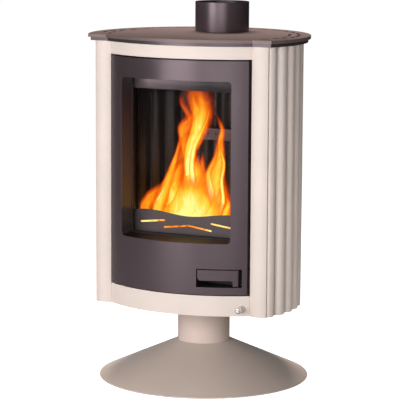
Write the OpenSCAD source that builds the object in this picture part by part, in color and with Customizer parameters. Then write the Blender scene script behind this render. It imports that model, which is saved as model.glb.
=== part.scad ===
// Wood burning stove on a cone pedestal.
// Origin on the floor at the pedestal's axis, +Z up, the door faces -Y, +X is the latch side.
// "fire" sizes belong to the round firebox, "case" sizes to the fluted casing around it.

/* [Foot and column] */
// Radius of the cone where it meets the floor
foot_r = 291.3; // [280:0.1:300]
// Height at which the cone meets the column
foot_h = 101.5; // [95:0.5:110]
// Radius of the pedestal column
column_r = 72.6; // [72:0.1:74]
// Wall of the column
column_wall = 4; // [3:0.5:5]

/* [Body] */
// Height of the body's lower edge
body_z0 = 212.6; // [205:0.1:216]
// Height of the underside of the top moulding
body_z1 = 936.7; // [930:0.1:945]
// Radius of the fluted casing over its crests
case_r = 284.5; // [283:0.5:286]
// Width of one flute, as an angle about the casing's centre
flute_angle = 9.6; // [9:0.1:10]
// Depth of a flute's valley below its crest
flute_depth = 12.5; // [8:0.5:13]
// Half width over the two front pillars
pillar_x1 = 257.5; // [257:0.1:258]
// Half width between the two front pillars
pillar_x0 = 210.3; // [210:0.1:211]
// How far a pillar's face bulges forward
pillar_bulge = 8; // [5:0.5:9]

/* [Top] */
// Radius of the upper plate
plate_r = 303.5; // [302:0.5:306]
// Thickness of the upper plate
plate_t = 8.7; // [7:0.1:9]
// Thickness of the moulding under it
moulding_t = 9.2; // [8:0.1:10]
// Inset of the moulding
moulding_inset = 7; // [5:0.5:9]
// Radius of the flue collar, a standard stove pipe
flue_r = 75; // [75:0.5:76]
// How far the flue collar stands above the plate
flue_h = 82; // [60:1:100]
// Length of one air slot in the plate, as an angle
slot_angle = 7.6; // [6:0.1:8]

/* [Door] */
// Radius of the curved front
front_r = 376.1; // [376:0.1:377]
// Height of the door's lower edge
door_z0 = 270; // [269.5:0.5:272]
// Height of the door's upper edge
door_z1 = 900; // [898:0.5:900.5]
// Half width of the window
window_x = 163.6; // [160:0.1:164]
// Lower edge of the window
window_z0 = 409; // [407:0.5:412]
// Upper edge of the window
window_z1 = 843.5; // [840:0.5:846]

/* [Controls] */
// Place of the air knob across the front
knob_x = 192; // [190:0.5:193]
// Height of the air knob
knob_z = 232.6; // [232:0.1:234]
// Radius of the air rod
rod_r = 4; // [3.5:0.1:4]
// Radius of the hinge and latch pins
pin_r = 3; // [2.8:0.1:3]
// Radial clearance of a pin or rod in its hole
running_fit = 0.05; // [0.02:0.01:0.08]

/* [Hidden] */
$fn = 96;
big = 700;

// Centres of the round parts of the plan
case_cy = -37.8;
fire_cy = -42;
front_cy = front_r - 220.2;
plate_front_r = 400;
plate_front_cy = 163.7;
shoulder_y = -172;
shoulder_x = 217.5;

// Levels, from the floor up
base_t = 10;
flange_t = 8;
floor_z = 214;
floor_t = 6;
fire_z0 = 272;
fire_z1 = 916;
sheet_t = 4;
hearth_z = 408;
baffle_z = 862;
rail_lower_z = 268;
rail_upper_z = 902;
moulding_z = body_z1;
plate_z = moulding_z + moulding_t;
plate_top = plate_z + plate_t;

// Firebox
fire_r = 230;
fire_front_y = -92;
liner_seam_r = 215;
liner_lobes = 16;
liner_pitch = 12.8;
liner_sag = 8;
frame_opening_x = 172;
frame_z0 = 262;
frame_z1 = 905;
ash_x = 84;

// Casing
case_t = 1.6;
valley_r = case_r - flute_depth;
first_valley = -16.3;
panel_start = -23.5;
panel_end = first_valley + 8 * flute_angle;
cover_start = panel_end + 0.7;
inner_case_r = valley_r - case_t - 0.3;

// Pillars and rails
pillar_edge_y = -156;
pillar_back_y = -150;
rail_t = 2;
rail_inner_r = front_r - rail_t;

// Door
skin_t = 3;
door_x0 = -206.5;
door_x1 = 203.5;
door_back_y = -118;
hinge_x = -200;
hinge_y = -155;
hinge_block = 20;
seal_x = 186;
seal_z0 = 281;
seal_z1 = 887;
seal_r = 6;
seal_y = fire_front_y - sheet_t - 0.3 - seal_r;
glass_y = -116.5;
glass_t = 4;

// Handle and latch
pocket_x0 = 77;
pocket_x1 = 191.6;
pocket_z0 = 291;
pocket_z1 = 340.5;
pocket_back_y = -141.5;
pocket_t = 1.5;
latch_x = 177;
latch_y = -160;
tongue_z = 344;

// Air control
collar_y0 = -176;
collar_y1 = -152;
damper_z = 268.2;

pale = [0.88, 0.84, 0.78];
taupe = [0.65, 0.6, 0.55];
dark = [0.36, 0.31, 0.34];
soot = [0.12, 0.12, 0.12];
steel = [0.62, 0.62, 0.62];

// Points along an arc of a circle, and a list turned round.
function arc_points(c, r, a0, a1, steps) = [for (i = [0 : steps])
  let (a = a0 + (a1 - a0) * i / steps) [c[0] + r * cos(a), c[1] + r * sin(a)]];
function reverse(list) = [for (i = [len(list) - 1 : -1 : 0]) list[i]];

// A flat ring, or a disc where r0 is 0.
module ring(r1, r0, h) {
  difference() {
    cylinder(r = r1, h = h);
    if (r0 > 0) translate([0, 0, -1]) cylinder(r = r0, h = h + 2);
  }
}

// A piece of a ring between two angles, measured from +X.
module ring_sector(r1, r0, h, a0, a1) {
  rotate([0, 0, a0]) rotate_extrude(angle = a1 - a0) translate([r0, 0]) square([r1 - r0, h]);
}

// A box given by its lowest and highest corners.
module block(x, y, z) {
  translate([x[0], y[0], z[0]]) cube([x[1] - x[0], y[1] - y[0], z[1] - z[0]]);
}

// Copies its children at equal angles round the Z axis.
module around(count, start = 0) {
  for (i = [0 : count - 1]) rotate([0, 0, start + 360 * i / count]) children();
}

// A round bar along Y, from y0 to y1.
module bar_y(x, z, r, y0, y1) {
  translate([x, y1, z]) rotate([90, 0, 0]) cylinder(r = r, h = y1 - y0);
}

// A box with its four edges along Y rounded.
module soft_block(x, y, z, r) {
  block([x[0] + r, x[1] - r], y, z);
  block(x, y, [z[0] + r, z[1] - r]);
  for (cx = [x[0] + r, x[1] - r], cz = [z[0] + r, z[1] - r]) bar_y(cx, cz, r, y[0], y[1]);
}

// A sheet curved like the front, between two places across it.
module front_sheet(x0, x1, z0, z1, t, r = front_r) {
  intersection() {
    translate([0, front_cy, z0]) ring(r, r - t, z1 - z0);
    block([x0, x1], [-big, 0], [z0, z1]);
  }
}

// A plate between the curved front and a straight back edge.
module front_plate(x0, x1, y1, z0, z1, r = front_r) {
  intersection() {
    translate([0, front_cy, z0]) cylinder(r = r, h = z1 - z0);
    block([x0, x1], [-big, y1], [z0, z1]);
  }
}

// A disc about the firebox's centre, cut off flat at the front.
module fire_disc(r, z0, z1, y0 = fire_front_y) {
  intersection() {
    translate([0, fire_cy, z0]) cylinder(r = r, h = z1 - z0);
    block([-big, big], [y0, big], [z0, z1]);
  }
}

// Outline of the top: a circle cut off at the shoulders, with a curved front.
module top_outline(inset, z0, z1) {
  intersection() {
    translate([0, case_cy, z0]) cylinder(r = plate_r - inset, h = z1 - z0);
    block([-big, big], [shoulder_y + inset, big], [z0, z1]);
  }
  intersection() {
    translate([0, plate_front_cy, z0]) cylinder(r = plate_front_r - inset, h = z1 - z0);
    block([-shoulder_x, shoulder_x], [-big, shoulder_y + 2 * inset], [z0, z1]);
  }
}

// ---- foot and column ----

module base_plate() {
  color(steel) difference() {
    ring(258, 50, base_t);
    around(4, 45) translate([210, 0, -1]) cylinder(r = 5.5, h = base_t + 2);
    around(4, 45) translate([88, 0, -1]) cylinder(r = 4, h = base_t + 2);
  }
}

module foot_cone() {
  lip = 3;
  sheet = 3;
  color(taupe) rotate_extrude() polygon([
    [foot_r, 0], [foot_r, lip], [column_r + 0.4, foot_h], [column_r + 0.4, foot_h - sheet - 1],
    [foot_r - 2 * sheet, lip - 0.5], [foot_r - 2 * sheet, 0]]);
}

module pedestal_column() {
  color(pale) difference() {
    union() {
      translate([0, 0, base_t]) ring(column_r, column_r - column_wall, floor_z - base_t);
      translate([0, 0, base_t]) ring(104, column_r - column_wall, flange_t);
    }
    around(4, 45) translate([88, 0, 0]) cylinder(r = 4.5, h = 30);
  }
}

module hex_bolt(r, length, head_r, head_h) {
  translate([0, 0, -length]) cylinder(r = r, h = length);
  cylinder(r = head_r, h = head_h, $fn = 6);
}

module column_foot_bolts() {
  color(steel) around(4, 45) translate([88, 0, base_t + flange_t]) hex_bolt(4, 17, 7.5, 5.3);
}

module column_head_ring() {
  color(steel) translate([0, 0, floor_z - flange_t]) difference() {
    ring(column_r - column_wall, 45, flange_t);
    around(4, 45) translate([57, 0, -1]) cylinder(r = 4, h = flange_t + 2);
  }
}

module column_head_bolts() {
  color(steel) around(4, 45) translate([57, 0, floor_z + floor_t]) hex_bolt(4, 13, 7.5, 5.3);
}

// ---- body ----

module floor_plate() {
  color(soot) difference() {
    union() {
      intersection() {
        translate([0, case_cy, floor_z]) cylinder(r = inner_case_r, h = floor_t);
        block([-big, big], [-121.5, big], [floor_z, floor_z + floor_t]);
      }
      front_plate(-209.5, 209.5, -120, floor_z, floor_z + floor_t, rail_inner_r - 0.3);
    }
    translate([0, 0, floor_z - 1]) cylinder(r = 45, h = floor_t + 2);
    around(4, 45) translate([57, 0, floor_z - 1]) cylinder(r = 4.5, h = floor_t + 2);
    for (a = [-5 : 27 : 184]) translate([0, case_cy, floor_z - 1])
      ring_sector(262, 242, floor_t + 2, a, a + 20);
  }
}

module firebox_spacers() {
  color(steel) for (p = [[-150, -60], [-150, 90], [120, 110], [60, -72]])
    translate([p[0], p[1], floor_z + floor_t]) ring(10, 4, fire_z0 - floor_z - floor_t);
}

module air_box() {
  z = [floor_z + floor_t, fire_z0];
  color(soot) difference() {
    block([-66, 226], [-90, 66], z);
    block([-64, 224], [-88, 64], [z[0] - 1, z[1] + 1]);
    bar_y(knob_x, knob_z, rod_r + 1, -100, 0);
  }
}

module firebox_bottom() {
  color(soot) difference() {
    fire_disc(fire_r + sheet_t, fire_z0, fire_z0 + sheet_t);
    block([170, 210], [-25, 15], [fire_z0 - 1, fire_z0 + sheet_t + 1]);
  }
}

module firebox_shell() {
  color(soot) difference() {
    fire_disc(fire_r + sheet_t, fire_z0 + sheet_t, fire_z1);
    translate([0, fire_cy, fire_z0]) cylinder(r = fire_r, h = fire_z1);
  }
}

module firebox_top() {
  color(soot) difference() {
    fire_disc(fire_r + sheet_t, fire_z1, fire_z1 + sheet_t);
    translate([0, 107.5, fire_z1 - 1]) cylinder(r = flue_r - 3, h = sheet_t + 2);
  }
}

module face_frame() {
  y = [fire_front_y - sheet_t, fire_front_y];
  cut = [y[0] - 1, y[1] + 1];
  color(soot) difference() {
    block([-229, 229], y, [frame_z0, frame_z1]);
    soft_block([-frame_opening_x, frame_opening_x], cut, [402, 850], 12);
    soft_block([-ash_x - 2, ash_x + 2], cut, [280, 396], 6);
  }
}

module ash_housing() {
  z0 = fire_z0 + sheet_t;
  z1 = hearth_z - 8;
  color(soot) {
    difference() {
      block([-ash_x, ash_x], [fire_front_y, 100], [z0, z1]);
      block([-ash_x + 3, ash_x - 3], [fire_front_y - 1, 97], [z0 - 1, z1 + 1]);
    }
    for (s = [-1, 1]) translate([s * (ash_x - 8), 0, 0]) block([-5, 5], [fire_front_y, 97], [z1 - 3, z1]);
  }
}

module ash_pan() {
  x = [-ash_x + 12, ash_x - 12];
  y = [-84, 80];
  z = [278, 345];
  wall = 1.5;
  color(steel) difference() {
    block(x, y, z);
    block([x[0] + wall, x[1] - wall], [y[0] + wall, y[1] - wall], [z[0] + wall, z[1] + 1]);
  }
  color(steel) {
    block([-30, 30], [-93, y[0]], [318, 320]);
    block([-30, 30], [-93, -91], [308, 318]);
  }
}

module hearth_plate() {
  color(soot) difference() {
    fire_disc(fire_r - 0.5, hearth_z - 8, hearth_z, fire_front_y + 0.5);
    block([-72, 72], [-52, 76], [hearth_z - 9, hearth_z + 1]);
    block([-76.4, 76.4], [-56.4, 80.4], [hearth_z - 5, hearth_z + 1]);
  }
}

module grate() {
  x = 76;
  y = [-56, 80];
  z = [hearth_z - 5, hearth_z];
  color(soot) {
    difference() {
      block([-x, x], y, z);
      block([-x + 8, x - 8], [y[0] + 8, y[1] - 8], [z[0] - 1, z[1] + 1]);
    }
    for (i = [-3 : 3]) block([18 * i - 4, 18 * i + 4], [y[0] + 8, y[1] - 8], z);
  }
}

// Inner edge of a fluted liner: round lobes that swell towards the fire.
function liner_point(a, k) = liner_seam_r - liner_sag * (1 - pow(2 * k - 1, 2));
function liner_inner(a0, lobes, steps) = [for (i = [0 : lobes * steps])
  let (k = (i % steps) / steps, a = a0 + liner_pitch * i / steps, r = liner_point(a, k))
  [r * cos(a), fire_cy + r * sin(a)]];
function liner_outer(a0, lobes, steps) = [for (i = [lobes * steps : -1 : 0])
  let (a = a0 + liner_pitch * i / steps) [(fire_r - 0.5) * cos(a), fire_cy + (fire_r - 0.5) * sin(a)]];

// A fluted liner that starts at angle a0 from +X and has so many lobes.
module liner(a0, lobes) {
  gap = 0.15;
  translate([0, 0, hearth_z]) linear_extrude(height = baffle_z - hearth_z)
    polygon(concat(liner_inner(a0 + gap, lobes, 8), liner_outer(a0 + gap, lobes, 8)));
}

liner_first = 90 - liner_lobes / 2 * liner_pitch;

module liner_right() {
  color(soot) liner(liner_first, 5);
}

module liner_back() {
  color(soot) difference() {
    liner(liner_first + 5 * liner_pitch, 6);
    block([-84.5, 84.5], [100, 163.5], [640.5, 674.5]);
  }
}

module liner_left() {
  color(soot) liner(liner_first + 11 * liner_pitch, 5);
}

module secondary_air_bar() {
  y = [147, 163];
  z = [641, 674];
  color(soot) difference() {
    block([-84, 84], y, z);
    block([-82, 82], [y[0] + 2, y[1] - 2], [z[0] + 2, z[1] - 2]);
    for (i = [-2.5 : 2.5]) bar_y(24 * i, 659, 2.5, y[0] - 1, y[0] + 3);
  }
}

module baffle_plate() {
  color([0.5, 0.46, 0.38]) fire_disc(fire_r - 4, baffle_z, baffle_z + 18, -62);
}

// Height of the log guard's wavy edge above a place x.
function wave(x) = 464 + 6 * cos(360 * (x + 130) / 250);

// Outline of a slot of half width r that follows a line of points, with round ends.
function heading(p, i) = let (a = p[max(i - 1, 0)], b = p[min(i + 1, len(p) - 1)])
  atan2(b[1] - a[1], b[0] - a[0]);
function slot_side(p, r, turn) = [for (i = [0 : len(p) - 1])
  let (a = heading(p, i) + turn) p[i] + r * [cos(a), sin(a)]];
function slot_outline(p, r) = let (n = len(p) - 1, a = heading(p, 0), b = heading(p, n)) concat(
  slot_side(p, r, -90), arc_points(p[n], r, b - 72, b + 72, 8),
  reverse(slot_side(p, r, 90)), arc_points(p[0], r, a + 108, a + 252, 8));

module log_guard() {
  x1 = 178;
  t = 3;
  slots = [[[-151, 434.6], [-80, 442.6]], [[-80, 423.4], [-5, 432.6], [62, 423]], [[63, 443], [132, 434]]];
  color(dark) translate([0, -87, 0]) rotate([90, 0, 0]) difference() {
    linear_extrude(height = t) polygon(concat([[-x1, hearth_z], [x1, hearth_z]],
      [for (i = [24 : -1 : -24]) [x1 * i / 24, wave(x1 * i / 24)]]));
    for (line = slots) translate([0, 0, -1]) linear_extrude(height = t + 2) polygon(slot_outline(line, 2.6));
  }
}

module airwash_bar() {
  x = 165.5;
  y = [-104, -101];
  color(dark) {
    soft_block([-x, x], y, [806, 862], 6);
    for (s = [-1, 1]) block([s * 120 - 15, s * 120 + 15], [y[1], fire_front_y - sheet_t], [853, 861]);
  }
}

// ---- top ----

module flue_collar() {
  z0 = fire_z1 + sheet_t;
  color(dark) translate([0, 107.5, z0]) {
    ring(flue_r - 1, flue_r - 3, plate_top - z0);
    translate([0, 0, plate_top - z0]) ring(flue_r, flue_r - 3, flue_h);
    ring(92, flue_r - 3, 3);
  }
}

module top_moulding() {
  color(dark) difference() {
    top_outline(moulding_inset, moulding_z, plate_z);
    intersection() {
      translate([0, case_cy, moulding_z - 1]) cylinder(r = 277, h = moulding_t + 2);
      block([-big, big], [-130, big], [moulding_z - 1, plate_z + 1]);
    }
  }
}

module top_plate() {
  color(dark) difference() {
    top_outline(0, plate_z, plate_top);
    translate([0, 107.5, plate_z - 1]) cylinder(r = flue_r + 0.5, h = plate_t + 2);
    translate([0, case_cy, plate_z - 1]) {
      for (i = [-9.5 : 9.5]) ring_sector(276, 267.5, plate_t + 2,
        90 + 10.4 * i - slot_angle / 2, 90 + 10.4 * i + slot_angle / 2);
      for (s = [0, 1]) mirror([s, 0, 0]) for (i = [0 : 4]) ring_sector(250.5, 242, plate_t + 2,
        11.6 * i - 20 - slot_angle / 2, 11.6 * i - 20 + slot_angle / 2);
    }
  }
}

// ---- casing ----

// The right-hand pillar: a bulged face with returns, capped at both ends.
module pillar() {
  half = (pillar_x1 - pillar_x0) / 2;
  mid = (pillar_x1 + pillar_x0) / 2;
  bulge_r = (half * half + pillar_bulge * pillar_bulge) / (2 * pillar_bulge);
  wall = 2;
  module solid(r, x0, x1, z0, z1) {
    intersection() {
      translate([mid, pillar_edge_y - pillar_bulge + bulge_r, z0]) cylinder(r = r, h = z1 - z0);
      block([x0, x1], [-big, pillar_back_y], [z0, z1]);
    }
  }
  color(pale) {
    difference() {
      solid(bulge_r, pillar_x0, pillar_x1, body_z0, body_z1);
      solid(bulge_r - wall, pillar_x0 + wall, pillar_x1 - wall, body_z0 + wall, body_z1 - wall);
    }
    block([pillar_x0, pillar_x0 + wall], [pillar_back_y, -122], [body_z0, body_z1]);
  }
}

module right_pillar() {
  pillar();
}

module left_pillar() {
  mirror([1, 0, 0]) pillar();
}

module top_rail() {
  x = pillar_x0 - 0.4;
  color(pale) {
    front_sheet(-x, x, rail_upper_z, body_z1, rail_t);
    intersection() {
      front_plate(-x, x, -150, body_z1 - rail_t, body_z1, rail_inner_r);
      difference() {
        block([-x, x], [-big, -150], [0, big * 2]);
        translate([0, front_cy, 0]) cylinder(r = rail_inner_r - 22, h = big * 2);
      }
    }
  }
}

module bottom_rail() {
  x = pillar_x0 - 0.4;
  color(pale) difference() {
    front_sheet(-x, x, body_z0, rail_lower_z, rail_t);
    bar_y(knob_x, knob_z, 8.8, -big / 2, -100);
  }
}

// One polyline of the fluted sheet: round lobes between valleys, in whole steps of angle.
function flute_r(a) = let (k = (a - first_valley) / flute_angle, f = k - floor(k))
  valley_r + flute_depth * (1 - pow(abs(2 * f - 1), 2.5));
function flute_line(a0, a1, steps, inset) = [for (i = [0 : steps])
  let (a = a0 + (a1 - a0) * i / steps, r = flute_r(a) - inset) [r * cos(a), case_cy + r * sin(a)]];

module side_panel() {
  steps = 105;
  color(pale) translate([0, 0, body_z0]) linear_extrude(height = body_z1 - body_z0)
    polygon(concat(flute_line(panel_start, panel_end, steps, 0),
      reverse(flute_line(panel_start, panel_end, steps, case_t))));
}

module side_panel_right() {
  side_panel();
}

module side_panel_left() {
  mirror([1, 0, 0]) side_panel();
}

module heat_shield() {
  color(steel) translate([0, case_cy, floor_z + floor_t])
    ring_sector(252, 250.5, fire_z1 - floor_z - floor_t, 52, 128);
}

// Puts its children at each screw of the rear cover, with +Z pointing outwards.
module at_cover_screws() {
  for (a = [67, 90, 113], z = [body_z0 + 24, body_z1 - 24])
    translate([0, case_cy, z]) rotate([0, 90, a]) children();
}

module rear_cover() {
  color(pale) difference() {
    translate([0, case_cy, body_z0]) ring_sector(valley_r + 2, valley_r + 0.4, body_z1 - body_z0,
      cover_start, 180 - cover_start);
    for (row = [0 : 8], col = [-1 : 1])
      translate([0, case_cy, 300 + 64 * row]) ring_sector(valley_r + 10, valley_r - 10, 7,
        84 + 16 * col, 96 + 16 * col);
    at_cover_screws() translate([0, 0, valley_r - 10]) cylinder(r = 2, h = 20);
  }
}

module rear_cover_screws() {
  color(steel) at_cover_screws() {
    translate([0, 0, valley_r + 2]) cylinder(r1 = 4.5, r2 = 3, h = 2.4);
    translate([0, 0, valley_r + 0.4]) cylinder(r = 2, h = 2);
  }
}

// ---- door hinge and strike ----

module hinge_bracket(z) {
  color(steel) difference() {
    front_plate(-209.5, -150, fire_front_y - sheet_t, z, z + 5, rail_inner_r - 0.3);
    translate([hinge_x, hinge_y, z - 1]) cylinder(r = pin_r, h = 7);
    block([-180, -140], [-big, -130], [z - 1, z + 6]);
  }
}

module hinge_bracket_lower() {
  hinge_bracket(262.5);
}

module hinge_bracket_upper() {
  hinge_bracket(903);
}

module hinge_pins() {
  color(steel) for (z = [[262.5, door_z0 + hinge_block - 2], [door_z1 - hinge_block + 2, 908]])
    translate([hinge_x, hinge_y, z[0]]) cylinder(r = pin_r, h = z[1] - z[0]);
}

module strike_plate() {
  color(steel) block([206.3, pillar_x0], [-132, -122], [325, 368]);
}

module knob_collar() {
  color(steel) difference() {
    bar_y(knob_x, knob_z, 8.7, collar_y0, collar_y1);
    bar_y(knob_x, knob_z, rod_r + running_fit, collar_y0 - 1, collar_y1 + 1);
  }
}

// ---- door ----

// The opening of the window through the curved skin.
module window_hole(x, z0, z1, y, r) {
  soft_block([-x, x], y, [z0, z1], r);
}

module door_skin() {
  edge_t = 3;
  color(dark) difference() {
    union() {
      difference() {
        front_plate(door_x0, door_x1, door_back_y - 4, door_z0, door_z1);
        front_plate(door_x0 + edge_t, door_x1 - edge_t, 0, door_z0 + edge_t, door_z1 - edge_t,
          front_r - skin_t);
      }
      for (z = [door_z0, door_z1 - hinge_block])
        front_plate(door_x0, hinge_x + 7, hinge_y + 7, z, z + hinge_block);
    }
    window_hole(window_x, window_z0, window_z1, [-300, -140], 11);
    block([pocket_x0, pocket_x1], [-300, -150], [pocket_z0, pocket_z1]);
    block([door_x1 - edge_t - 1, door_x1 + 1], [-152, -124], [tongue_z - 2, tongue_z + 7]);
    translate([hinge_x, hinge_y, 0]) cylinder(r = pin_r + running_fit, h = big * 2);
  }
}

module window_jambs() {
  t = 2;
  color(dark) intersection() {
    difference() {
      window_hole(window_x + t, window_z0 - t, window_z1 + t, [-300, door_back_y - 4], 11 + t);
      window_hole(window_x, window_z0, window_z1, [-301, door_back_y], 11);
    }
    front_plate(-big, big, 0, 0, big * 2, front_r - skin_t);
  }
}

module door_frame() {
  y = [door_back_y - 4, door_back_y];
  x = window_x - 1.5;
  z = [window_z0 + 1.5, window_z1 - 1.5];
  ridge = seal_r + 0.4;
  // One wall of the seal's channel, as a rectangle of sheet set off from the seal's middle line.
  module wall(off) {
    difference() {
      block([-seal_x - off, seal_x + off], [door_back_y, -104], [seal_z0 - off, seal_z1 + off]);
      block([-seal_x - off + 2, seal_x + off - 2], [door_back_y - 1, 0],
        [seal_z0 - off + 2, seal_z1 + off - 2]);
    }
  }
  color(dark) {
    difference() {
      block([door_x0, door_x1], y, [door_z0, door_z1]);
      window_hole(x, z[0], z[1], [y[0] - 1, y[1] + 1], 10);
    }
    wall(ridge + 2);
    wall(-ridge);
  }
}

// The rope seal: four straight runs joined by round corners.
module door_seal() {
  color(soot) {
    for (s = [-1, 1]) translate([s * seal_x, seal_y, seal_z0]) cylinder(r = seal_r, h = seal_z1 - seal_z0);
    for (z = [seal_z0, seal_z1]) {
      translate([-seal_x, seal_y, z]) rotate([0, 90, 0]) cylinder(r = seal_r, h = 2 * seal_x);
      for (s = [-1, 1]) translate([s * seal_x, seal_y, z]) sphere(r = seal_r);
    }
  }
}

module glass_gasket() {
  y = [door_back_y, glass_y];
  color(soot) difference() {
    block([-171, 171], y, [402, 851]);
    block([-162.5, 162.5], [y[0] - 1, y[1] + 1], [411, 842]);
  }
}

module door_glass() {
  color([0.6, 0.7, 0.7, 0.3]) block([-171, 171], [glass_y, glass_y + glass_t], [402, 851]);
}

clip_screw_x = 174.4;
clip_places = [for (s = [-1, 1], z = [440, 626, 812]) [s, z]];

// Clips hold the glass from behind and are screwed to the door frame beside it.
module glass_clips() {
  foot = [door_back_y, glass_y + glass_t];
  color(steel) for (p = clip_places) scale([p[0], 1, 1]) translate([0, 0, p[1]]) difference() {
    union() {
      block([164, 177.2], [foot[1], foot[1] + 1.5], [-10, 10]);
      block([171.6, 177.2], foot, [-10, 10]);
    }
    bar_y(clip_screw_x, 0, 1.6, foot[0] - 1, foot[1] + 3);
  }
}

module clip_screws() {
  y0 = glass_y + glass_t + 1.5;
  color(steel) for (p = clip_places) translate([p[0] * clip_screw_x, 0, p[1]]) {
    bar_y(0, 0, 1.6, door_back_y, y0);
    bar_y(0, 0, 2.8, y0, y0 + 1.6);
  }
}

module handle_pocket() {
  t = pocket_t;
  color(soot) difference() {
    intersection() {
      block([pocket_x0 - t, pocket_x1 + t], [-300, pocket_back_y + t], [pocket_z0 - t, pocket_z1 + t]);
      front_plate(-big, big, 0, 0, big, front_r - skin_t);
    }
    block([pocket_x0, pocket_x1], [-301, pocket_back_y], [pocket_z0, pocket_z1]);
    translate([latch_x, latch_y, 0]) cylinder(r = pin_r + running_fit, h = big);
  }
}

// A tube swept along a helix: rings of points joined by quads, closed at both ends.
module coil(r, wire, pitch, turns, sides = 8, per_turn = 16) {
  n = turns * per_turn;
  points = [for (i = [0 : n], j = [0 : sides - 1])
    let (a = 360 * i / per_turn, b = 360 * j / sides, q = r + wire * cos(b))
    [q * cos(a), q * sin(a), pitch * i / per_turn + wire * sin(b)]];
  sides_faces = [for (i = [0 : n - 1], j = [0 : sides - 1]) let (k = (j + 1) % sides)
    [i * sides + j, i * sides + k, (i + 1) * sides + k, (i + 1) * sides + j]];
  polyhedron(points, concat(sides_faces, [[for (j = [sides - 1 : -1 : 0]) j]],
    [[for (j = [0 : sides - 1]) n * sides + j]]));
}

module latch_spring() {
  color(steel) translate([latch_x, latch_y, tongue_z + 6.6]) coil(4.6, 0.7, 1.8, 4);
}

// ---- latch ----

// Outline of the paddle as seen from the front: a band with a rounded corner and a leg.
function paddle_outline() = concat([[183, 338], [183, 294], [170, 294]],
  arc_points([164, 303], 6, 0, 90, 8), arc_points([89, 318], 9, 270, 180, 8), [[80, 338]]);

module handle_paddle() {
  color(dark) difference() {
    union() {
      intersection() {
        translate([0, -100, 0]) rotate([90, 0, 0]) linear_extrude(height = 150) polygon(paddle_outline());
        translate([0, front_cy, 0]) ring(front_r, front_r - 3, 400);
      }
      intersection() {
        union() {
          block([170, 183], [-178, latch_y], [294, 338]);
          translate([latch_x, latch_y, 294]) cylinder(r = 6.5, h = 44);
        }
        translate([0, front_cy, 0]) cylinder(r = front_r - 1, h = 400);
      }
    }
    translate([latch_x, latch_y, 0]) cylinder(r = pin_r, h = 500);
  }
}

module latch_pin() {
  color(steel) translate([latch_x, latch_y, 285]) cylinder(r = pin_r, h = 76);
}

module latch_tongue() {
  tip = [207.5, -138];
  length = norm(tip - [latch_x, latch_y]);
  color(steel) difference() {
    translate([latch_x, latch_y, tongue_z]) {
      cylinder(r = 7, h = 5);
      rotate([0, 0, atan2(tip[1] - latch_y, tip[0] - latch_x)]) block([5, length - 1], [-3.5, 3.5], [0, 5]);
    }
    translate([latch_x, latch_y, tongue_z - 1]) cylinder(r = pin_r, h = 7);
  }
}

// ---- air control ----

module air_knob() {
  color(steel) translate([knob_x, collar_y0 - 0.3, knob_z]) rotate([90, 0, 0]) rotate_extrude()
    polygon(concat([[0, 12], [rod_r, 12], [rod_r, 0], [7, 0], [7.6, 0.6], [7.6, 4], [6.6, 5], [6.6, 6.5],
      [7.6, 7.5]], arc_points([5.1, 18], 2.5, 0, 90, 6), [[0, 20.8]]));
}

module air_rod() {
  color(steel) bar_y(knob_x, knob_z, rod_r, collar_y0 - 12.3, 34);
}

module damper_plate() {
  color(steel) difference() {
    union() {
      block([160, 218], [-42, 34], [damper_z, damper_z + 2]);
      block([182, 202], [14, 17], [222.5, damper_z]);
    }
    bar_y(knob_x, knob_z, rod_r, 10, 20);
  }
}

base_plate();
foot_cone();
pedestal_column();
column_foot_bolts();
column_head_ring();
column_head_bolts();
floor_plate();
firebox_spacers();
air_box();
firebox_bottom();
firebox_shell();
firebox_top();
face_frame();
ash_housing();
ash_pan();
hearth_plate();
grate();
liner_left();
liner_back();
liner_right();
secondary_air_bar();
baffle_plate();
log_guard();
airwash_bar();
flue_collar();
top_moulding();
top_plate();
left_pillar();
right_pillar();
top_rail();
bottom_rail();
side_panel_left();
side_panel_right();
heat_shield();
rear_cover();
rear_cover_screws();
hinge_bracket_lower();
hinge_bracket_upper();
hinge_pins();
strike_plate();
knob_collar();
door_skin();
window_jambs();
door_frame();
door_seal();
glass_gasket();
door_glass();
glass_clips();
clip_screws();
handle_pocket();
latch_spring();
handle_paddle();
latch_pin();
latch_tongue();
air_knob();
air_rod();
damper_plate();
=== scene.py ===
"""A wood burning stove on a round foot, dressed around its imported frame. Lengths in metres."""

import math

import bpy
import numpy as np
from mathutils import Matrix, Vector


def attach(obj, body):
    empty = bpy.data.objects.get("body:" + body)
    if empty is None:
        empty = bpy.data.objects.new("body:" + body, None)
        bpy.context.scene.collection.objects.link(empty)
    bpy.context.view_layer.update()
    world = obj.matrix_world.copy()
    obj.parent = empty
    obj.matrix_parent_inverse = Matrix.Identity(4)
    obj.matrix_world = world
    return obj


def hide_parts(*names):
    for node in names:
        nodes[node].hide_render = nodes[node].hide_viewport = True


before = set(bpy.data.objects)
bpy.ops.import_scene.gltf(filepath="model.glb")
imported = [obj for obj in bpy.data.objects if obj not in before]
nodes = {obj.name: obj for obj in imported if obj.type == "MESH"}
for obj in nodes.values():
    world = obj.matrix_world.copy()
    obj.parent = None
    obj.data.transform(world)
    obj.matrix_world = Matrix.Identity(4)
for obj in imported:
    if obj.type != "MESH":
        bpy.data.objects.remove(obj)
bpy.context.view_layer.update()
scene = bpy.context.scene
scene.view_settings.view_transform = "Standard"

# ---- Camera ----
# A long lens at about the height of the flue, a quarter turn short of the right-hand corner.
eye = (2.3876, -5.0170, 1.3543)
turn, dip, roll = (math.radians(a) for a in (25.58, 8.82, 0.31))
camera = bpy.data.objects.new("camera", bpy.data.cameras.new("camera"))
camera.matrix_world = (Matrix.Translation(eye) @ Matrix.Rotation(turn, 4, "Z")
                       @ Matrix.Rotation(math.pi / 2 - dip, 4, "X") @ Matrix.Rotation(roll, 4, "Z"))
camera.data.sensor_width = 36
camera.data.lens = 182.4
camera.data.clip_end = 200
scene.collection.objects.link(camera)
scene.camera = camera


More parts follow.
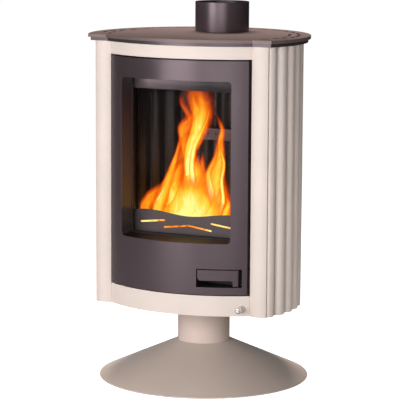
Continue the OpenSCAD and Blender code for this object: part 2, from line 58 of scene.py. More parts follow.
# ---- Floor and studio light ----
# A pale floor runs out of sight under broad soft lights: three before the stove, a weak one at its
# right and a warm one above its back. Only the first two show in its gloss.
class Shade:
    """A shader socket used as a number: each sum written on it adds its Math node."""

    def __init__(self, finish, socket):
        self.finish, self.socket = finish, socket

    def __add__(self, other):
        return self.finish.maths("ADD", self, other)

    def __sub__(self, other):
        return self.finish.maths("SUBTRACT", self, other)

    def __rsub__(self, other):
        return self.finish.maths("SUBTRACT", other, self)

    def __mul__(self, other):
        return self.finish.maths("MULTIPLY", self, other)

    __radd__, __rmul__ = __add__, __mul__

    def other(self, name):
        return Shade(self.finish, self.socket.node.outputs[name])


class Finish:
    """One material: its main shader, and the nodes that vary it over a surface."""

    def __init__(self, name, values):
        self.material = bpy.data.materials.new(name)
        self.material.use_nodes = True
        self.tree = self.material.node_tree
        self.shader = self.tree.nodes["Principled BSDF"]
        self.feed(self.shader, values)

    def feed(self, node, values):
        for key, value in values.items():
            socket = node.inputs[key]
            if isinstance(value, Shade):
                self.tree.links.new(value.socket, socket)
            elif isinstance(value, tuple) and len(socket.default_value) == 4:
                socket.default_value = (*value, 1)
            else:
                socket.default_value = value

    def node(self, kind, settings=None, values=None, output=0):
        made = self.tree.nodes.new("ShaderNode" + kind)
        for key, value in (settings or {}).items():
            if key == "stops":
                ramp = made.color_ramp.elements
                while len(ramp) < len(value):
                    ramp.new(1)
                for element, (place, colour) in zip(ramp, value):
                    element.position, element.color = place, (*colour, 1)
            else:
                setattr(made, key, value)
        self.feed(made, values or {})
        return Shade(self, made.outputs[output])

    def maths(self, operation, *values):
        return self.node("Math", {"operation": operation}, dict(enumerate(values)))

    def vary(self, **values):
        self.feed(self.shader, {key.replace("_", " ").title(): v for key, v in values.items()})
        return self

    def place(self):
        return self.node("TexCoord", output="Object")

    def along(self, axes, vector=None):
        """The place, or another vector, as one number for each of the named axes."""
        parts = self.node("SeparateXYZ", {}, {"Vector": vector or self.place()})
        return [parts.other(axis) for axis in axes]

    def noise(self, scale, detail=2.0):
        return self.node("TexNoise", {}, {"Vector": self.place(), "Scale": scale, "Detail": detail})

    def mix(self, factor, a, b):
        return self.node("Mix", {"data_type": "RGBA"}, {0: factor, 6: a, 7: b}, output=2)

    def span(self, value, low, high, to_low, to_high):
        return self.node("MapRange", {"clamp": True}, {"Value": value, "From Min": low, "From Max": high,
                                                       "To Min": to_low, "To Max": to_high})

    def stain(self, mask, colour):
        """The base colour so far, turned to another colour where mask is 1."""
        so_far = Shade(self, self.shader.inputs["Base Color"].links[0].from_socket)
        return self.vary(base_color=self.mix(mask, so_far, colour))

    def bump(self, height, depth, strength=1.0, edge=0.0):
        """The surface raised by height times depth metres, its edges rounded by a radius of edge."""
        values = {"Height": height, "Distance": depth, "Strength": strength}
        if edge:
            values["Normal"] = self.node("Bevel", {"samples": 6}, {"Radius": edge})
        return self.node("Bump", {}, values)


def shell(points, closed_u=False, closed_v=False, caps=False):
    """A grid of points in millimetres as (points, faces): cell (i, j) joins i to i+1 and j to j+1,
    and faces the way of the step along i crossed with the step along j. Caps close both ends of i."""
    n, m = points.shape[:2]
    number = np.arange(n * m).reshape(n, m)
    if closed_u:
        number = np.vstack([number, number[:1]])
    if closed_v:
        number = np.hstack([number, number[:, :1]])
    quads = np.stack([number[:-1, :-1], number[1:, :-1], number[1:, 1:], number[:-1, 1:]], -1).reshape(-1, 4)
    faces = quads.tolist()
    if caps:
        faces += [number[0, :m].tolist(), number[n - 1, :m][::-1].tolist()]
    return points.reshape(-1, 3), faces


def piece(name, shells, finish, body, replaces=(), maps=None):
    """Shells made one mesh in metres, shaded smooth but for edges over 35 degrees."""
    points, faces, start = [], [], 0
    for part, cells in shells:
        points.append(part)
        faces += [[i + start for i in cell] for cell in cells]
        start += len(part)
    mesh = bpy.data.meshes.new(name)
    mesh.from_pydata(np.concatenate(points) / 1000, [], faces)
    mesh.polygons.foreach_set("use_smooth", np.ones(len(mesh.polygons), bool))
    mesh.set_sharp_from_angle(angle=math.radians(35))
    for key, values in (maps or {}).items():
        corner = np.zeros(len(mesh.loops), np.int32)
        mesh.loops.foreach_get("vertex_index", corner)
        mesh.uv_layers.new(name=key).uv.foreach_set("vector", values[corner].astype(np.float32).ravel())
    mesh.materials.append(finish.material)
    made = bpy.data.objects.new(name, mesh)
    scene.collection.objects.link(made)
    if body:
        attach(made, body)
    if replaces:
        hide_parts(*replaces)
    return made


floor_paint = Finish("floor", {"Base Color": (0.45, 0.45, 0.45), "Roughness": 0.9, "Specular IOR Level": 0.1,
                               "Emission Color": (1, 1, 1)})
seen = floor_paint.node("LightPath", output="Is Camera Ray")
floor_paint.feed(floor_paint.shader, {"Emission Strength": seen})
reach = np.linspace(-60000, 60000, 13)
floor = piece("floor", [shell(np.stack(np.meshgrid(reach, reach, [0.0], indexing="ij"), -1)[:, :, 0])],
              floor_paint, None)

scene.world = bpy.data.worlds.new("studio")
scene.world.use_nodes = True
sky = scene.world.node_tree.nodes["Background"]
sky.inputs["Color"].default_value = (1.0, 0.985, 0.97, 1)
strength = scene.world.node_tree.nodes.new("ShaderNodeMapRange")
strength.inputs["To Min"].default_value, strength.inputs["To Max"].default_value = 0.035, 1.1
rays = scene.world.node_tree.nodes.new("ShaderNodeLightPath")
scene.world.node_tree.links.new(rays.outputs["Is Camera Ray"], strength.inputs["Value"])
scene.world.node_tree.links.new(strength.outputs["Result"], sky.inputs["Strength"])


def soft_box(name, azimuth, height, distance, size, power, colour=(1, 1, 1), aim=(0, 0, 0.6), glossy=True):
    """An oblong light azimuth degrees right of the front, pointed at aim."""
    angle = math.radians(azimuth)
    place = Vector((math.sin(angle) * distance, -math.cos(angle) * distance, height))
    light = bpy.data.lights.new(name, "AREA")
    light.shape, light.size, light.size_y = "RECTANGLE", *size
    light.energy, light.color = power, colour
    lamp = bpy.data.objects.new(name, light)
    lamp.location = place
    lamp.visible_camera, lamp.visible_glossy = False, glossy
    lamp.rotation_euler = (Vector(aim) - place).to_track_quat("-Z", "Y").to_euler()
    scene.collection.objects.link(lamp)


soft_box("key_light", -17, 0.95, 3.0, (1.5, 1.6), 38, aim=(0, 0, 0.7))
soft_box("fill_light", 22, 0.95, 3.2, (1.9, 1.6), 27)
soft_box("front_light", 2, 0.95, 3.2, (1.7, 1.6), 42, glossy=False)
soft_box("right_light", 75, 0.95, 3.2, (1.2, 1.6), 8, glossy=False)
soft_box("top_light", 212, 2.7, 1.1, (1.6, 1.2), 95, (1, 0.92, 0.86), aim=(0, 0, 0.95), glossy=False)


# ---- Foot ----
# A spun steel cone with a short lip stands on the floor over a heavy ballast ring. A tube bolted
# to the ring carries the stove. Both are sprayed with matt stove paint and baked.
def matt_paint(name, colour, grain=0.35, edge=0.0008, rough=0.62):
    """A sprayed coat: fine grain in its height and its colour, and slow patches in its gloss."""
    paint = Finish(name, {"Specular IOR Level": 0.35})
    speck = paint.noise(900, 3)
    patch = paint.noise(7, 3)
    dusty = tuple(c * 0.88 for c in colour)
    tint = paint.mix(paint.span(patch, 0.3, 0.7, 0, 0.5), colour, dusty)
    tint = paint.mix(paint.span(speck, 0.35, 0.75, 0, 0.35), tint, tuple(min(1, c * 1.12) for c in colour))
    return paint.vary(base_color=tint, roughness=patch * 0.12 + (rough - 0.06),
                      normal=paint.bump(speck, 0.00012, grain, edge))


def dress(finish, *names):
    """Gives CAD nodes a finish."""
    for name in names:
        data = nodes[name].data
        data.materials.clear()
        data.materials.append(finish.material)


def spin(profile, steps=160):
    """A closed profile of (radius, height) turned about an upright axis: x = r cos a, y = -r sin a."""
    angle = np.linspace(0, 2 * np.pi, steps, endpoint=False)
    r, z = np.asarray(profile, float).T
    return np.stack([np.outer(r, np.cos(angle)), -np.outer(r, np.sin(angle)),
                     np.repeat(z[:, None], steps, 1)], -1)


def rounded(corners, radius, steps=4):
    """A closed outline whose corner P becomes the curve (1-t)^2 A + 2t(1-t) P + t^2 B,
    where A and B lie on its two sides, radius away from P or at most 45% of the side."""
    p = np.asarray(corners, float)
    back, on = np.roll(p, 1, 0) - p, np.roll(p, -1, 0) - p
    far_back, far_on = np.linalg.norm(back, axis=1), np.linalg.norm(on, axis=1)
    reach = np.minimum(np.broadcast_to(radius, len(p)), 0.45 * np.minimum(far_back, far_on))
    a = (p + back / far_back[:, None] * reach[:, None])[:, None]
    b = (p + on / far_on[:, None] * reach[:, None])[:, None]
    t = np.linspace(0, 1, steps + 1)[None, :, None]
    return ((1 - t) ** 2 * a + 2 * t * (1 - t) * p[:, None] + t * t * b).reshape(-1, 2)


# The foot and column wear darker copies of the casing's pale coat: painted shade, for the shade under the
# stove's body.
foot_paint = matt_paint("foot_paint", (0.60, 0.485, 0.42))
foot_paint.feed(foot_paint.shader, {"Sheen Weight": 0.25, "Sheen Roughness": 0.4})
cone_r, cone_lip, column_r, cone_top = 291.3, 6.0, 73.0, 101.5
cone_profile = rounded([(cone_r - cone_lip, 0.0), (cone_r, 0.0), (cone_r, 3.0), (column_r, cone_top),
                        (column_r, cone_top - 4), (cone_r - cone_lip, 2.5)], [1.0, 1.0, 1.6, 1.0, 0.5, 1.0])
piece("foot_cone_spun", [shell(spin(cone_profile), True, True)], foot_paint, "stove",
      ["foot_cone"])
# Painted shade: the column's coat is a darker copy of the pale coat.
shaded_column_paint = matt_paint("shaded_column_paint", (0.62, 0.495, 0.44))
dress(shaded_column_paint, "pedestal_column", "column_head_ring")

ballast = Finish("rolled_ballast", {"Metallic": 0.6, "Specular IOR Level": 0.4})
scale = ballast.noise(60, 6)
ballast.vary(base_color=ballast.mix(scale, (0.05, 0.05, 0.055), (0.13, 0.115, 0.105)),
             roughness=ballast.span(scale, 0.3, 0.7, 0.75, 0.45),
             normal=ballast.bump(scale, 0.0008, 0.6, 0.001))
dress(ballast, "base_plate", "floor_plate")

bright = Finish("zinc_plate", {"Metallic": 1.0})
cloud = bright.noise(400, 4)
bright.vary(base_color=bright.mix(cloud, (0.50, 0.50, 0.49), (0.68, 0.67, 0.64)),
            roughness=bright.span(cloud, 0.3, 0.7, 0.28, 0.45),
            normal=bright.bump(cloud, 0.0001, 0.4, 0.0004))
dress(bright, "column_foot_bolts", "column_head_bolts", "firebox_spacers", "hinge_pins",
      "knob_collar", "rear_cover_screws", "latch_pin", "latch_spring",
      "air_rod", "hinge_bracket_lower", "hinge_bracket_upper")

# ---- Firebox ----
# Boiler plate rolled to a barrel and welded to a bottom, a top and a flat face frame, with the
# air box under it and the ash pan's housing and grate in its floor.
boiler_plate = Finish("boiler_plate", {"Metallic": 0.25, "Specular IOR Level": 0.4})
mill = boiler_plate.noise(35, 6)
fine = boiler_plate.noise(800, 2)
boiler_plate.vary(base_color=boiler_plate.mix(boiler_plate.span(mill, 0.3, 0.7, 0, 1),
                                              (0.018, 0.017, 0.018), (0.045, 0.040, 0.040)),
                  roughness=boiler_plate.span(mill, 0.3, 0.7, 0.62, 0.42),
                  normal=boiler_plate.bump(mill * 0.7 + fine * 0.3, 0.0004, 0.5, 0.0008))
dress(boiler_plate, "air_box", "firebox_bottom", "firebox_shell", "firebox_top", "face_frame", "ash_housing",
      "ash_pan", "heat_shield", "baffle_plate", "damper_plate", "strike_plate", "latch_tongue", "clip_screws")

iron = Finish("cast_iron", {"Metallic": 0.3, "Specular IOR Level": 0.45})
sand = iron.noise(260, 5)
iron.vary(base_color=iron.mix(sand, (0.015, 0.014, 0.015), (0.05, 0.045, 0.045)),
          roughness=iron.span(sand, 0.3, 0.7, 0.5, 0.7), normal=iron.bump(sand, 0.0006, 0.8, 0.001))
dress(iron, "grate", "hearth_plate")

# ---- Lining ----
# Fluted panels of fired clay stand round the fire, blackened by smoke.
fire_brick = Finish("smoked_brick", {"Specular IOR Level": 0.4})
soot = fire_brick.noise(14, 5)
pore = fire_brick.noise(300, 4)
fire_y, seam_r, back_r = -42, 215, 229.2
first_lobe, lobe_angle, lobe_depth = -12.4, 12.8, 8

# Pale grit shows in the seams between lobes, where the fraction across a lobe is near 0.
brick_x, brick_y = fire_brick.along("XY")
turned = fire_brick.maths("ARCTAN2", brick_y - fire_y / 1000, brick_x) * (180 / math.pi / lobe_angle)
from_seam = fire_brick.maths("PINGPONG", turned - first_lobe / lobe_angle, 0.5)
grit = (fire_brick.maths("LESS_THAN", from_seam, 0.03)
        * fire_brick.maths("GREATER_THAN", fire_brick.noise(280, 2), 0.52))
sooted = fire_brick.mix(fire_brick.span(soot, 0.35, 0.7, 0, 1),
                        (0.0018, 0.0016, 0.002), (0.005, 0.0045, 0.0055))
fire_brick.vary(base_color=fire_brick.mix(grit, sooted, (0.10, 0.085, 0.09)),
                roughness=fire_brick.span(soot, 0.3, 0.7, 0.44, 0.36),
                normal=fire_brick.bump(pore, 0.0003, 0.5, 0.0015))


def wall(outline, z0, z1, soft=0.6):
    """A closed outline of (x, y) carried straight up from z0 to z1, set in by soft at both ends
    along its own normals so that the end edges are rounded."""
    p = np.asarray(outline, float)
    if np.sum(p[:, 0] * np.roll(p[:, 1], -1) - np.roll(p[:, 0], -1) * p[:, 1]) > 0:
        p = p[::-1]
    along = np.roll(p, -1, 0) - np.roll(p, 1, 0)
    inward = np.stack([along[:, 1], -along[:, 0]], -1) / np.linalg.norm(along, axis=1)[:, None]
    step = np.array([0, 0.3, 1.0]) * soft
    inset = np.concatenate([[soft, soft * 0.3, 0], [0, soft * 0.3, soft]])
    level = np.concatenate([z0 + step, z1 - step[::-1]])
    flat = p[None] + inward[None] * inset[:, None, None]
    return shell(np.concatenate([flat, np.broadcast_to(level[:, None, None], (*flat.shape[:2], 1))], -1),
                 closed_v=True, caps=True)


def brick(first, lobes):
    """One fluted panel: inner face r = seam_r - lobe_depth / 2 (1 - cos 2 pi f) at the fraction f
    across each lobe."""
    turn_by = np.linspace(0.012, lobes - 0.012, lobes * 24 + 1)
    angle = np.radians(first_lobe + lobe_angle * (first + turn_by))
    f = turn_by % 1
    inner = seam_r - lobe_depth / 2 * (1 - np.cos(2 * np.pi * f))
    outer = np.full_like(angle, back_r)
    ring = np.concatenate([np.stack([inner, angle], -1), np.stack([outer, angle], -1)[::-1]])
    return np.stack([ring[:, 0] * np.cos(ring[:, 1]), fire_y + ring[:, 0] * np.sin(ring[:, 1])], -1)


# The back panel is cut away between gap_z0 and gap_z1, but for its outer lobes, for the air bar.
hearth_z, gap_z0, gap_z1, baffle_z = 408, 640.5, 674.5, 862
for name, first in (("liner_right", 0), ("liner_left", 11)):
    piece(name + "_fluted", [wall(brick(first, 5), hearth_z, baffle_z, 1.2)], fire_brick, "stove",
          [name])
back_walls = [wall(brick(5, 6), hearth_z, gap_z0, 1.2), wall(brick(5, 6), gap_z1, baffle_z, 1.2),
              wall(brick(5, 1), gap_z0, gap_z1, 0), wall(brick(10, 1), gap_z0, gap_z1, 0)]
piece("liner_back_fluted", back_walls, fire_brick, "stove", ["liner_back"])

# ---- Guard and air bars ----
# A steel sheet with a waved top edge and cut slots keeps the logs off the glass. A bar behind the head
# of the window turns air down the glass, and a hollow one with holes feeds air in through the lining.
def lustre_paint(name, colour, edge=0.0008, metal=0.6, rough=0.33):
    """A dark coat with metal flake: flakes sparkle in its colour and its gloss."""
    paint = Finish(name, {"Metallic": metal, "Specular IOR Level": 0.5})
    flake = paint.noise(1400, 2)
    patch = paint.noise(6, 3)
    tint = paint.mix(paint.span(flake, 0.35, 0.7, 0, 1), tuple(c * 0.86 for c in colour),
                     tuple(c * 1.15 for c in colour))
    return paint.vary(base_color=tint, roughness=paint.span(patch, 0.3, 0.7, rough - 0.04, rough + 0.04),
                      normal=paint.bump(flake, 0.00008, 0.35, edge))


guard_paint = matt_paint("guard_paint", (0.112, 0.082, 0.086), grain=0.3, rough=0.5)
dress(guard_paint, "log_guard")
shaded_bar_paint = lustre_paint("shaded_bar_paint", (0.20, 0.15, 0.165))
bar_x, bar_y = shaded_bar_paint.along("XY")
# Painted shade: the bars darken towards their right ends, and go near black more than 0.1475 m back, where
# the hollow bar sits in the cut in the lining.
shade_to_right = shaded_bar_paint.span(bar_x, -0.14, 0.06, 0.0, 0.9)
in_bar = shaded_bar_paint.maths("GREATER_THAN", bar_y, 0.1475)
shaded_bar_paint.stain(shaded_bar_paint.maths("MAXIMUM", shade_to_right, in_bar), (0.010, 0.008, 0.009))
bar_face = rounded([(-104.4, 806), (-101, 806), (-101, 862), (-104.4, 862), (-107.0, 846), (-107.0, 822)],
                   [1.6, 0.8, 0.8, 1.6, 12, 12], 6)
span = np.concatenate([[-165.5, -165.3, -164.5], np.linspace(-163, 163, 9), [164.5, 165.3, 165.5]])
pinch = np.array([0.90, 0.95, 0.985] + [1.0] * 9 + [0.985, 0.95, 0.90])
middle = np.array([-102.5, 834.0])
bent = middle + (bar_face[None] - middle) * pinch[:, None, None]
bar = np.concatenate([np.broadcast_to(span[:, None, None], (*bent.shape[:2], 1)), bent], -1)
lug = rounded([(-15, -101.5), (15, -101.5), (15, -96), (-15, -96)], 1)
lugs = [wall(lug + (x, 0), 853, 861, 0.4) for x in (-120, 120)]
piece("airwash_bar_rolled", [shell(bar, closed_v=True, caps=True)] + lugs, shaded_bar_paint, "stove",
      ["airwash_bar"])
dress(shaded_bar_paint, "secondary_air_bar")

# ---- Fire ----
# Embers glow on the hearth, and flames rise from them. Each flame is a curved sheet of light whose
# heat falls away to its edges and its tip.
ember = Finish("ember", {"Roughness": 0.9, "Emission Strength": 1.6})
crust = ember.node("TexVoronoi", {"feature": "DISTANCE_TO_EDGE"}, {"Vector": ember.place(), "Scale": 55})
from_left, = ember.along("X")
# How strongly the air fans the embers, at fractions of the way across them.
draught = [(0.02, 1.0), (0.09, 0.92), (0.16, 0.62), (0.32, 0.36), (0.44, 0.36), (0.5, 0.46), (0.56, 0.58),
           (0.62, 0.72), (0.67, 0.97), (0.71, 0.72), (0.75, 0.9), (0.78, 0.62), (0.82, 0.86)]
fanned = ember.node("ValToRGB", {"stops": [(t, (heat,) * 3) for t, heat in draught]},
                    {"Fac": ember.span(from_left, -0.17, 0.17, 0, 1)})
hot = ember.span(fanned - crust * 0.9 + ember.noise(22, 3) * 0.3 + 0.08, 0.0, 1.0, 0.0, 1.0)
glow_stops = [(0.0, (0.004, 0.002, 0.002)), (0.35, (0.25, 0.02, 0.0)), (0.7, (1.0, 0.28, 0.02)),
              (1.0, (1.0, 0.72, 0.22))]
ember.vary(base_color=ember.mix(hot, (0.02, 0.018, 0.017), (0.10, 0.03, 0.01)),
           emission_color=ember.node("ValToRGB", {"stops": glow_stops}, {"Fac": hot}),
           normal=ember.bump(crust, 0.004))
# The bed is flat along its length and falls off at its ends, as 1 - |x / half length|^30.
bed_x, bed_y0, bed_y1 = 187, -80, 45
lay_x, lay_y = np.meshgrid(np.linspace(-bed_x, bed_x, 96), np.linspace(bed_y0, bed_y1, 40), indexing="ij")
heap = 1 - np.clip(np.abs(lay_x) / bed_x, 0, 1) ** 30
heap = heap * (1 - np.clip(np.abs(lay_y + 18) / 62.5, 0, 1) ** 4)
lumps = np.sin(lay_x * 0.21) * np.cos(lay_y * 0.27 + lay_x * 0.05) + np.sin(lay_x * 0.09 + lay_y * 0.33)
lay_z = hearth_z + 0.4 + heap * (22 + 4 * lumps)
piece("ember_bed", [shell(np.stack([lay_x, lay_y, lay_z], -1))], ember, "stove")

# name: (depth y, how hot, [(x, z, half width), ...] from the embers up), in millimetres. The wide
# flames are the body of the fire, veils are faint, and streaks are narrow and bright.
flames = {
    "bed": (4, 1.15, [(-22, 438, 94), (-22, 470, 90), (-24, 515, 66), (-26, 565, 34)]),
    "main": (0, 1.1, [(-48, 438, 30), (-47, 488, 27), (-40, 545, 20), (-47, 594, 16), (-41, 634, 17),
                      (-22, 670, 21), (-8, 705, 26), (-5, 738, 31), (-12, 765, 36), (-22, 800, 38),
                      (-30, 835, 30)]),
    "upper_left": (18, 0.62, [(-64, 610, 9), (-72, 658, 15), (-71, 684, 21), (-50, 706, 22), (-35, 730, 17),
                              (-50, 762, 9)]),
    "left": (-25, 0.8, [(-132, 438, 22), (-127, 477, 20), (-106, 518, 17), (-88, 564, 13), (-75, 611, 7),
                        (-61, 661, 4), (-51, 696, 2)]),
    "far_left": (-45, 0.6, [(-160, 438, 16), (-158, 472, 20), (-136, 501, 19), (-112, 527, 12),
                            (-98, 552, 4)]),
    "inner_left": (-12, 0.85, [(-91, 438, 31), (-84, 483, 30), (-81, 525, 27), (-80, 558, 19), (-70, 587, 10),
                               (-60, 615, 3)]),
    "middle": (12, 0.85, [(-12, 438, 29), (-14, 484, 26), (-16, 526, 21), (-12, 569, 13), (-12, 602, 7),
                          (-14, 632, 2)]),
    "right": (5, 0.85, [(42, 438, 27), (39, 489, 27), (31, 531, 26), (39, 578, 19), (50, 625, 10),
                        (49, 662, 10), (56, 690, 8), (41, 717, 6), (23, 744, 2)]),
    "far_right": (-35, 0.8, [(80, 438, 14), (86, 472, 12), (90, 498, 7), (80, 525, 2)]),
    "veil_left": (30, 0.45, [(-100, 438, 60), (-92, 500, 48), (-78, 580, 34), (-62, 660, 26), (-50, 720, 22),
                             (-40, 800, 14)]),
    "core": (8, 1.15, [(-34, 438, 62), (-30, 480, 56), (-30, 540, 40), (-34, 590, 22), (-36, 640, 8)]),
    "wisp_left": (18, 0.42, [(-44, 700, 9), (-62, 733, 11), (-77, 763, 10), (-85, 792, 5)]),
    "core_right": (20, 1.15, [(28, 438, 52), (26, 490, 46), (22, 550, 32), (30, 610, 13), (36, 680, 6)]),
    "streak_left": (-30, 1.1, [(-133, 438, 5), (-138, 472, 4.3), (-116, 509, 3.6), (-98, 545, 3),
                               (-82, 595, 2.6), (-68, 645, 2), (-57, 682, 1.5)]),
    "streak_cross": (-20, 1.2, [(-76, 438, 4.5), (-53, 474, 4.5), (-52, 498, 4), (-76, 522, 3.6),
                                (-89, 549, 2.6), (-92, 575, 1.4)]),
    "streak_core": (-15, 1.25, [(-38, 438, 13), (-33, 491, 12), (-26, 543, 9), (-34, 589, 7), (-28, 632, 6.4),
                                (-9, 672, 5.6), (12, 708, 5), (22, 743, 4), (20, 778, 2.4)]),
    "streak_right": (-10, 1.15, [(45, 438, 8), (66, 496, 5.6), (57, 553, 5), (63, 600, 4.6), (52, 645, 3.4),
                                 (59, 680, 2)]),
}
flame = Finish("flame", {"Base Color": (0, 0, 0), "Roughness": 1.0, "Specular IOR Level": 0.0,
                         "Emission Strength": 1.25})
warmth = flame.node("Attribute", {"attribute_name": "warmth"}, output="Fac")
flow = flame.node("TexNoise", {},
                  {"Vector": flame.node("Mapping", {}, {"Vector": flame.node("UVMap", {"uv_map": "flow"}),
                                                        "Scale": (3.2, 1.8, 1.0)}),
                   "Scale": 1.0, "Detail": 3.0, "Distortion": 1.2})
heat = warmth * (flow * 0.9 + 0.6)
flame_stops = [(0.0, (0.30, 0.010, 0.0)), (0.2, (0.78, 0.045, 0.001)), (0.4, (1.0, 0.16, 0.003)),
               (0.6, (1.0, 0.37, 0.012)), (0.8, (1.0, 0.66, 0.06)), (1.0, (1.0, 0.90, 0.26))]
flame.vary(emission_color=flame.node("ValToRGB", {"stops": flame_stops}, {"Fac": heat}),
           alpha=flame.node("MapRange", {"interpolation_type": "SMOOTHSTEP"},
                            {"Value": heat, "From Min": 0.02, "From Max": 0.62}))


def ribbon(depth, hottest, spine):
    """A sheet across u = -1..1 along a spline S(v): S + u w(v) N, bowed forward by 0.5 w (1 - u^2).
    Its heat is hottest (1 - u^2)^1.4 (1 - 0.35 v - 0.65 v^4)."""
    spine = np.asarray(spine, float)
    v = np.linspace(0, 1, 72)
    knots = np.linspace(0, 1, len(spine))
    x, z, width = (np.interp(v, knots, spine[:, k]) for k in range(3))
    kernel = np.hanning(13) / np.hanning(13).sum()
    x, z, width = (np.convolve(np.pad(a, 6, mode="reflect", reflect_type="odd"), kernel, "valid")
                   for a in (x, z, width))
    tx, tz = np.gradient(x), np.gradient(z)
    long = np.hypot(tx, tz)
    u = np.linspace(-1, 1, 15)[None]
    width = np.maximum(width, 0.5) * 1.42
    wide = width[:, None] * u
    px, pz = x[:, None] + wide * (tz / long)[:, None], z[:, None] - wide * (tx / long)[:, None]
    py = depth - 0.5 * width[:, None] * (1 - u ** 2) + 4 * np.sin(v * 9 + depth)[:, None]
    heat = hottest * (1 - u ** 2) ** 1.4 * (1 - 0.35 * v - 0.65 * v ** 4)[:, None]
    flow = np.stack([np.broadcast_to(u * 0.5 * width[:, None] / 30 + depth, heat.shape),
                     np.broadcast_to((v * (z[-1] - z[0]) / 100)[:, None], heat.shape)], -1)
    return np.stack([px, py, pz], -1), heat.ravel(), flow.reshape(-1, 2)


for name, (depth, hottest, spine) in flames.items():
    points, heats, flows = ribbon(depth, hottest, spine)
    made = piece("flame_" + name, [shell(points)], flame, "stove", maps={"flow": flows})
    made.data.attributes.new("warmth", "FLOAT", "POINT").data.foreach_set("value", heats.astype(np.float32))
    made.visible_shadow = made.visible_diffuse = False

glow = bpy.data.lights.new("fire_glow", "POINT")
glow.energy, glow.color, glow.shadow_soft_size = 0.22, (1.0, 0.55, 0.38), 0.06
fire = bpy.data.objects.new("fire_glow", glow)
fire.location = (-0.02, -0.03, 0.56)
scene.collection.objects.link(fire)

# ---- Casing ----
# Bulged pillars, curved rails and fluted side panels of thin steel sheet, sprayed in a pale coat.
pale_paint = matt_paint("pale_paint", (0.70, 0.60, 0.545), grain=0.3, rough=0.5)
dress(pale_paint, "left_pillar", "right_pillar", "top_rail", "bottom_rail", "rear_cover")
case_y, valley_r, flute_depth, sheet = -37.8, 272.0, 12.5, 1.6
first_valley, flute_angle = -16.3, 9.6
# The side panels wear a lighter copy of the pale coat: painted light on their flutes.
lit_and_shaded_side_paint = matt_paint("lit_and_shaded_side_paint", (0.95, 0.82, 0.75), grain=0.3, rough=0.42)

# The valleys between flutes are painted darker as shade, up to 7 mm out from their floors.
side_x, side_y = lit_and_shaded_side_paint.along("XY")
side_y = side_y - case_y / 1000
from_axis = lit_and_shaded_side_paint.maths("SQRT", side_x * side_x + side_y * side_y)
valley = valley_r / 1000
lit_and_shaded_side_paint.stain(lit_and_shaded_side_paint.span(from_axis, valley, valley + 0.007, 0.5, 0), (0.10, 0.08, 0.07))

# The sheet's outer face lies at r = valley_r + flute_depth (1 - |2 f - 1|^2.5), at the fraction f
# across each flute.
bend = np.radians(np.linspace(-23.5, 60.5, 561))
phase = (np.degrees(bend) - first_valley) / flute_angle % 1
crest = valley_r + flute_depth * (1 - np.abs(2 * phase - 1) ** 2.5)
line = np.concatenate([np.stack([crest, bend], -1), np.stack([crest - sheet, bend], -1)[::-1]])
for side, name in ((1, "side_panel_right"), (-1, "side_panel_left")):
    outline = np.stack([side * line[:, 0] * np.cos(line[:, 1]), case_y + line[:, 0] * np.sin(line[:, 1])], -1)
    piece(name + "_fluted", [wall(outline, 212.6, 936.7, 0.3)], lit_and_shaded_side_paint, "stove", [name])

# ---- Top and flue ----
# A thick steel plate cut with air slots lies on a thinner one. The flue collar rises through it.
flue_paint = lustre_paint("flue_paint", (0.122, 0.090, 0.102))
dress(flue_paint, "flue_collar")
graphite = (0.098, 0.072, 0.082)
dark_paint = lustre_paint("dark_paint", graphite)
dress(dark_paint, "top_moulding")
plate_paint = lustre_paint("plate_paint", (0.27, 0.195, 0.188), metal=0.25, rough=0.45)

# The plate is darker towards its front. Its slots' walls are painted black as shade: they lie below its face,
# behind its front edge and inside its rim, where the squared distance from the axis is under rim_square.
across, back, up = plate_paint.along("XYZ")
behind_axis = back - case_y / 1000
rim_square = 0.084
slot_shade = (plate_paint.maths("LESS_THAN", up, 0.9541)
           * plate_paint.maths("LESS_THAN", across * across + behind_axis * behind_axis,
                               rim_square)
           * plate_paint.maths("GREATER_THAN", back, -0.15))
plate_paint.stain(plate_paint.span(back, -0.3, 0.1, 0.55, 0), (0.03, 0.022, 0.022))
plate_paint.stain(slot_shade, (0.006, 0.005, 0.005))
dress(plate_paint, "top_plate")

# ---- Door ----
# A curved steel skin over a flat frame, with a glass held from behind and a rope seal.
# Above 0.8984 m, at its top edge, the skin is painted black: a painted shadow of the gap under the top rail.
door_paint = lustre_paint("door_paint", graphite)
door_height, = door_paint.along("Z")
door_paint.stain(door_paint.span(door_height, 0.8972, 0.8984, 0, 1), (0.004, 0.003, 0.004))
dress(door_paint, "door_skin")
dress(dark_paint, "handle_paddle")
# The faces of the jambs that look up, the sill among them, are painted darker: painted shade against the
# light that falls on them.
jamb_paint = matt_paint("jamb_paint", (0.043, 0.036, 0.042), grain=0.3, rough=0.45)
faces_up, = jamb_paint.along("Z", jamb_paint.node("TexCoord", output="Normal"))
jamb_paint.stain(jamb_paint.span(faces_up, 0.3, 0.8, 0, 1), (0.006, 0.005, 0.006))
dress(jamb_paint, "window_jambs", "door_frame", "glass_clips")
pocket_paint = matt_paint("pocket_paint", (0.012, 0.010, 0.012))
dress(pocket_paint, "handle_pocket")

rope = Finish("seal_rope", {"Specular IOR Level": 0.2})
yarn = rope.node("Mapping", {}, {"Vector": rope.node("UVMap", {"uv_map": "weave"}),
                                 "Scale": (40.0, 40.0, 1.0)})
knit = rope.node("TexWave", {"bands_direction": "DIAGONAL"},
                 {"Vector": yarn, "Scale": 1.0, "Distortion": 1.0})
rope.vary(base_color=rope.mix(knit, (0.010, 0.010, 0.010), (0.055, 0.052, 0.050)),
          roughness=knit * -0.1 + 0.95, normal=rope.bump(knit, 0.0005))
dress(rope, "glass_gasket")


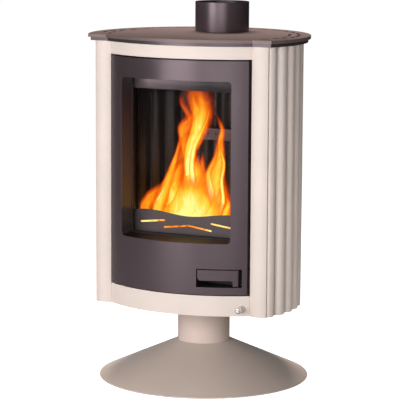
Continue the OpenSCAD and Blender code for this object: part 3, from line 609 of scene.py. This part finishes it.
def laid_rope(corners, y, radius, strands=3, lay=15.0, around=18):
    """A closed rope in an upright plane along a path P(s): P + r (N cos a + Y sin a), where
    r = radius (0.92 + 0.08 |cos(strands (a / 2 + pi s / lay))|), so that its strands wind round it."""
    path = rounded(corners, 14, 8)
    edge = np.linalg.norm(np.roll(path, -1, 0) - path, axis=1)
    run = np.concatenate([[0], np.cumsum(edge)])
    length = np.round(run[-1] / lay) * lay
    s = np.linspace(0, run[-1], int(length / 2.5), endpoint=False)
    loop = np.vstack([path, path[:1]])
    x, z = np.interp(s, run, loop[:, 0]), np.interp(s, run, loop[:, 1])
    tx, tz = np.roll(x, -1) - np.roll(x, 1), np.roll(z, -1) - np.roll(z, 1)
    long = np.hypot(tx, tz)
    a = np.linspace(0, 2 * np.pi, around, endpoint=False)[None]
    wound = np.abs(np.cos(strands * (a / 2 + np.pi * s[:, None] / run[-1] * length / lay)))
    r = radius * (0.92 + 0.08 * wound)
    around_u = np.broadcast_to(a / (2 * np.pi), r.shape)
    along_v = np.broadcast_to(s[:, None] / 37.7, r.shape)
    weave = np.stack([around_u, along_v], -1)
    return np.stack([x[:, None] + r * np.cos(a) * (tz / long)[:, None], y - r * np.sin(a),
                     z[:, None] - r * np.cos(a) * (tx / long)[:, None]], -1), weave.reshape(-1, 2)


strand, weave = laid_rope([(-186, 281), (186, 281), (186, 887), (-186, 887)], -102.3, 6)
piece("door_seal_rope", [shell(strand, True, True)], rope, "door",
      ["door_seal"], maps={"weave": weave})

glass = Finish("ceramic_glass", {"Base Color": (0.01, 0.01, 0.01), "Roughness": 0.05,
                                 "Specular IOR Level": 0.08})
haze = glass.noise(9, 4)
glass.vary(alpha=glass.span(haze, 0.3, 0.75, 0.04, 0.10))
dress(glass, "door_glass")

chrome = Finish("chrome", {"Metallic": 1.0})
wear = chrome.noise(200, 3)
chrome.vary(base_color=chrome.mix(wear, (0.75, 0.74, 0.73), (0.82, 0.81, 0.80)),
            roughness=chrome.span(wear, 0.3, 0.7, 0.10, 0.18), normal=chrome.bump(wear, 0.00005, 0.2, 0.0005))


def to_front(points, x, y, z):
    """Shapes spun about +Z turned to point forward: (a, b, c) goes to (x + a, y - c, z + b)."""
    return np.stack([x + points[..., 0], y - points[..., 2], z + points[..., 1]], -1)


knob_r, rod_r = 7.6, 4
knob_shape = rounded([(0.01, 12), (rod_r, 12), (rod_r, 0.2), (7, 0), (knob_r, 0.6), (knob_r, 4), (6.6, 5),
                      (6.6, 6.5), (knob_r, 7.5), (knob_r, 18.6), (6.4, 20.3), (3.2, 20.8), (2.6, 19.9),
                      (0.01, 19.7)], 0.5, 3)
piece("air_knob_turned", [shell(to_front(spin(knob_shape, steps=64), 192, -176.3, 232.6), True, True)],
      chrome, "air_control", ["air_knob"])
